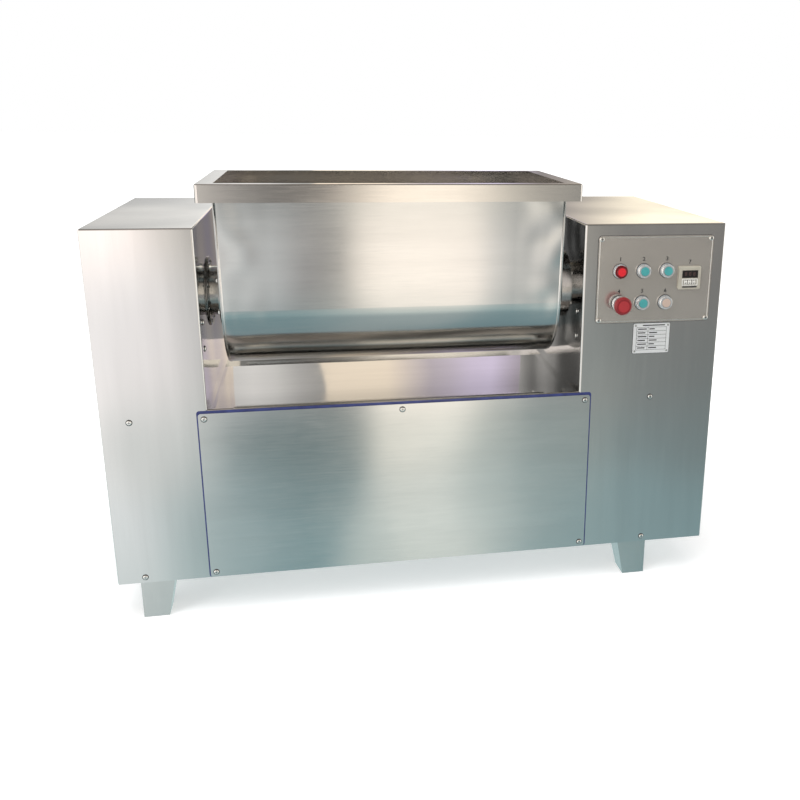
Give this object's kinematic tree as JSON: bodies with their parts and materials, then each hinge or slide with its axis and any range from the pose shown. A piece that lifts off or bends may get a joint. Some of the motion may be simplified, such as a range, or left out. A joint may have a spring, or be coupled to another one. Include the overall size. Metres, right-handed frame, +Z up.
{
  "type": "horizontal trough mixer",
  "caption": "Stainless food mixer: a tilting U-shaped trough with a ribbon agitator between two drive cabinets, on a closed base with feet and a control plate.",
  "frame": {"origin": "on the floor under the middle of the machine, halfway along its length and halfway between the front and rear of its cabinets", "axes": "+X to the right along the trough's axis, +Y to the rear, +Z up"},
  "size_m": [1.356, 0.6725, 0.945],
  "materials": {
    "stainless_brushed": "fine brushed stainless sheet",
    "stainless_polished": "polished stainless sheet",
    "bright_steel": "bright turned steel",
    "blue_film": "thin blue film",
    "control_plate_steel": "etched stainless plate",
    "rating_plate_aluminium": "bare anodised plate",
    "timer_beige": "beige moulded plastic",
    "timer_window_dark": "dark display window",
    "bezel_chrome": "chromed metal",
    "lamp_red": "red lens",
    "black_plastic": "black moulded plastic",
    "cast_housing": "dark grey painted casting",
    "motor_paint": "blue-grey painted casting",
    "belt_rubber": "rubber V belt",
    "galvanised_plate": "galvanised sheet",
    "gland_brass": "nickel-plated brass",
    "seal_plastic": "white sealing plastic",
    "bronze": "bearing bronze",
    "cast_iron_pulley": "machined cast iron",
    "button_teal": "teal moulded plastic",
    "button_cream": "cream moulded plastic",
    "stop_collar": "silver collar",
    "stop_red": "red moulded plastic",
    "wheel_ivory": "ivory moulded plastic"
  },
  "bodies": {
    "root": {"left_cabinet_body": "stainless_brushed", "right_cabinet_body": "stainless_brushed", "left_side_cover": "stainless_brushed", "right_side_cover": "stainless_brushed", "base_plate": "stainless_brushed", "deck_tray": "stainless_polished", "front_panel": "stainless_brushed", "front_panel_film": "blue_film", "rear_panel": "stainless_brushed", "foot_front_left": "stainless_brushed", "foot_front_right": "stainless_brushed", "foot_rear_left": "stainless_brushed", "foot_rear_right": "stainless_brushed", "front_panel_screws": "bright_steel", "cover_screws": "bright_steel", "control_plate": "control_plate_steel", "control_plate_screws": "bright_steel", "rating_plate": "rating_plate_aluminium", "rating_plate_rivets": "bright_steel", "timer_case": "timer_beige", "timer_window": "timer_window_dark", "button_bezels": "bezel_chrome", "lamp_lens": "lamp_red", "contact_blocks": "black_plastic", "left_trunnion_bearing": "cast_housing", "right_trunnion_bearing": "cast_housing", "bearing_bolts": "bright_steel", "tilt_reducer": "cast_housing", "tilt_motor": "motor_paint", "main_reducer": "cast_housing", "main_motor": "motor_paint", "motor_fan_covers": "motor_paint", "main_motor_rails": "stainless_brushed", "drive_belts": "belt_rubber", "electrical_plate": "galvanised_plate", "contactors": "black_plastic", "cable_gland": "gland_brass"},
    "trough": {"trough_shell": "stainless_polished", "trough_end_left": "stainless_polished", "trough_end_right": "stainless_polished", "trough_rim": "stainless_polished", "left_trunnion": "bright_steel", "right_trunnion": "bright_steel", "trunnion_bolts": "bright_steel", "shaft_bushes": "bronze", "shaft_seals": "seal_plastic"},
    "agitator": {"agitator_shaft": "bright_steel", "agitator_ribbon": "stainless_polished"},
    "reducer_input": {"reducer_pulley": "cast_iron_pulley"},
    "motor_rotor": {"motor_pulley": "cast_iron_pulley"},
    "start_push": {"start_button": "button_teal"},
    "stop_push": {"stop_button": "button_teal"},
    "tilt_up_push": {"tilt_up_button": "button_teal"},
    "tilt_down_push": {"tilt_down_button": "button_cream"},
    "emergency_plunger": {"emergency_stop_plunger": "stop_collar"},
    "emergency_head": {"emergency_stop_head": "stop_red"},
    "digit_wheel_1": {"timer_wheel_1": "wheel_ivory"},
    "digit_wheel_2": {"timer_wheel_2": "wheel_ivory"},
    "digit_wheel_3": {"timer_wheel_3": "wheel_ivory"}
  },
  "joints": [
    {"name": "trough_tilt", "type": "hinge", "parent": "root", "child": "trough", "pos_m": [-0.0565, -0.095, 0.692], "axis": [1, 0, 0], "range_deg": [0, 90]},
    {"name": "agitator_spin", "type": "hinge", "parent": "root", "child": "agitator", "pos_m": [-0.0565, -0.095, 0.692], "axis": [1, 0, 0], "continuous": true},
    {"name": "reducer_input_spin", "type": "hinge", "parent": "root", "child": "reducer_input", "pos_m": [0.446, 0.062, 0.592], "axis": [0, 1, 0], "continuous": true},
    {"name": "motor_spin", "type": "hinge", "parent": "root", "child": "motor_rotor", "pos_m": [0.504, 0.062, 0.232], "axis": [0, 1, 0], "continuous": true},
    {"name": "start_button_push", "type": "slide", "parent": "root", "child": "start_push", "axis": [0, 1, 0], "range_m": [0, 0.003], "stiffness_N_per_m": 800, "springref_m": -0.003},
    {"name": "stop_button_push", "type": "slide", "parent": "root", "child": "stop_push", "axis": [0, 1, 0], "range_m": [0, 0.003], "stiffness_N_per_m": 800, "springref_m": -0.003},
    {"name": "tilt_up_button_push", "type": "slide", "parent": "root", "child": "tilt_up_push", "axis": [0, 1, 0], "range_m": [0, 0.003], "stiffness_N_per_m": 800, "springref_m": -0.003},
    {"name": "tilt_down_button_push", "type": "slide", "parent": "root", "child": "tilt_down_push", "axis": [0, 1, 0], "range_m": [0, 0.003], "stiffness_N_per_m": 800, "springref_m": -0.003},
    {"name": "emergency_stop_push", "type": "slide", "parent": "root", "child": "emergency_plunger", "axis": [0, 1, 0], "range_m": [0, 0.004]},
    {"name": "emergency_stop_twist", "type": "hinge", "parent": "emergency_plunger", "child": "emergency_head", "pos_m": [0.4315, -0.3365, 0.684], "axis": [0, -1, 0], "range_deg": [-45, 0], "stiffness_Nm_per_rad": 0.02, "springref_deg": 11.46},
    {"name": "timer_wheel_1_turn", "type": "hinge", "parent": "root", "child": "digit_wheel_1", "pos_m": [0.5853, -0.3041, 0.729], "axis": [1, 0, 0], "continuous": true},
    {"name": "timer_wheel_2_turn", "type": "hinge", "parent": "root", "child": "digit_wheel_2", "pos_m": [0.5953, -0.3041, 0.729], "axis": [1, 0, 0], "continuous": true},
    {"name": "timer_wheel_3_turn", "type": "hinge", "parent": "root", "child": "digit_wheel_3", "pos_m": [0.6053, -0.3041, 0.729], "axis": [1, 0, 0], "continuous": true}
  ],
  "couplings": [
    {"joint": "reducer_input_spin", "follows": "agitator_spin", "ratio": 30},
    {"joint": "motor_spin", "follows": "agitator_spin", "ratio": 60}
  ]
}
